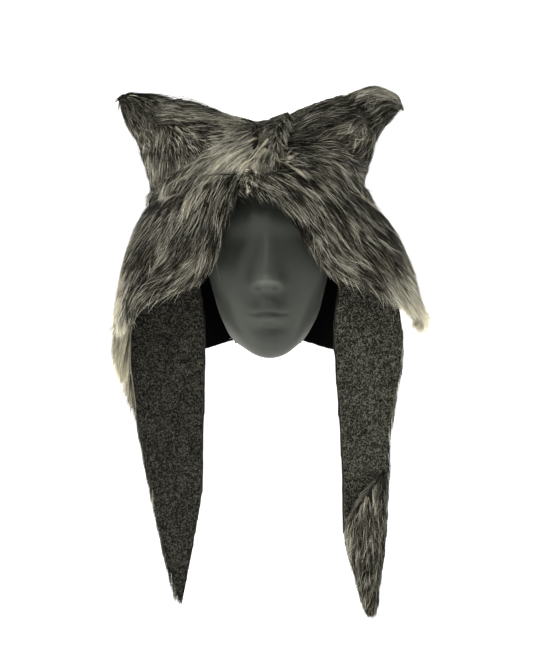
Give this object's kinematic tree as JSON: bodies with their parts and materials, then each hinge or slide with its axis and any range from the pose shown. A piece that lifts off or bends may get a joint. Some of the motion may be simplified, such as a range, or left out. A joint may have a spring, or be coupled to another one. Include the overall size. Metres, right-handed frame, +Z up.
{
  "type": "eared fur hood on a display head",
  "caption": "Long-pile fur hood with pointed ears, a knotted brow, lifting side wings and long wool-faced tails, on a display head with a pole socket.",
  "frame": {"origin": "the middle of the pole socket's mouth, in the flat base of the display head", "axes": "+Z up, -Y the way the face looks, +X to the wearer's left; the rest pose is the hood worn with everything hanging"},
  "size_m": [0.331, 0.2475, 0.5698],
  "materials": {
    "moulded_head": "matt dark grey-green moulded plastic",
    "socket_metal": "turned steel",
    "screw_metal": "zinc plated",
    "hood_fur": "long-pile imitation fur, dark roots and pale tips",
    "knot_fur": "long-pile imitation fur, the palest of the pile",
    "wing_fur": "long-pile imitation fur, cream at the outer edge",
    "tail_fur": "long-pile imitation fur",
    "wool_felt": "charcoal melange wool felt",
    "black_lining": "near-black lining cloth",
    "ear_wadding": "stiff wadding inside the ears",
    "thread": "waxed sewing thread"
  },
  "bodies": {
    "head": {"head_form": "moulded_head", "base_plate": "moulded_head", "pole_socket": "socket_metal", "base_screws": "screw_metal"},
    "hood": {"crown_front_right": "hood_fur", "crown_front_left": "hood_fur", "crown_back_right": "hood_fur", "crown_back_left": "hood_fur", "lining_front": "black_lining", "lining_back": "black_lining", "centre_strap": "knot_fur", "front_knot": "knot_fur", "knot_stitches": "thread", "right_swag": "knot_fur", "left_swag": "knot_fur"},
    "right_ear": {"right_ear_front": "hood_fur", "right_ear_back": "hood_fur", "right_ear_stiffener": "ear_wadding"},
    "left_ear": {"left_ear_front": "hood_fur", "left_ear_back": "hood_fur", "left_ear_stiffener": "ear_wadding"},
    "right_wing": {"right_wing_fur": "wing_fur", "right_wing_lining": "black_lining"},
    "left_wing": {"left_wing_fur": "wing_fur", "left_wing_lining": "black_lining"},
    "right_tail_root": {"right_tail_root_wool": "wool_felt", "right_tail_root_fur": "tail_fur"},
    "left_tail_root": {"left_tail_root_wool": "wool_felt", "left_tail_root_fur": "tail_fur"},
    "right_tail": {"right_tail_wool": "wool_felt", "right_tail_fur": "tail_fur"},
    "left_tail": {"left_tail_wool": "wool_felt", "left_tail_fur": "tail_fur", "left_tail_tip_wrap": "tail_fur"}
  },
  "joints": [
    {"name": "hood_lift", "type": "slide", "parent": "head", "child": "hood", "axis": [0, 0, 1], "range_m": [0, 0.34]},
    {"name": "right_ear_flex", "type": "hinge", "parent": "hood", "child": "right_ear", "pos_m": [-0.12, 0, 0.2395], "axis": [0.6912, 0, 0.7226], "range_deg": [-20, 20], "stiffness_Nm_per_rad": 0.4},
    {"name": "left_ear_flex", "type": "hinge", "parent": "hood", "child": "left_ear", "pos_m": [0.0985, 0, 0.2435], "axis": [-0.5892, 0, 0.808], "range_deg": [-20, 20], "stiffness_Nm_per_rad": 0.4},
    {"name": "right_wing_lift", "type": "hinge", "parent": "hood", "child": "right_wing", "pos_m": [-0.0785, -0.093, 0.164], "axis": [-0.7179, 0.6521, -0.2437], "range_deg": [0, 45]},
    {"name": "left_wing_lift", "type": "hinge", "parent": "hood", "child": "left_wing", "pos_m": [0.0635, -0.095, 0.166], "axis": [-0.7115, -0.6583, 0.246], "range_deg": [0, 45]},
    {"name": "right_tail_swing", "type": "hinge", "parent": "hood", "child": "right_tail_root", "pos_m": [-0.103, -0.055, 0.088], "axis": [0, 1, 0], "range_deg": [-5, 30]},
    {"name": "left_tail_swing", "type": "hinge", "parent": "hood", "child": "left_tail_root", "pos_m": [0.105, -0.055, 0.092], "axis": [0, -1, 0], "range_deg": [-5, 30]},
    {"name": "right_tail_fold", "type": "hinge", "parent": "right_tail_root", "child": "right_tail", "pos_m": [-0.106, -0.0526, -0.024], "axis": [0.9716, -0.2367, 0], "range_deg": [-70, 70]},
    {"name": "left_tail_fold", "type": "hinge", "parent": "left_tail_root", "child": "left_tail", "pos_m": [0.106, -0.0526, -0.024], "axis": [0.9651, 0.262, 0], "range_deg": [-70, 70]}
  ]
}
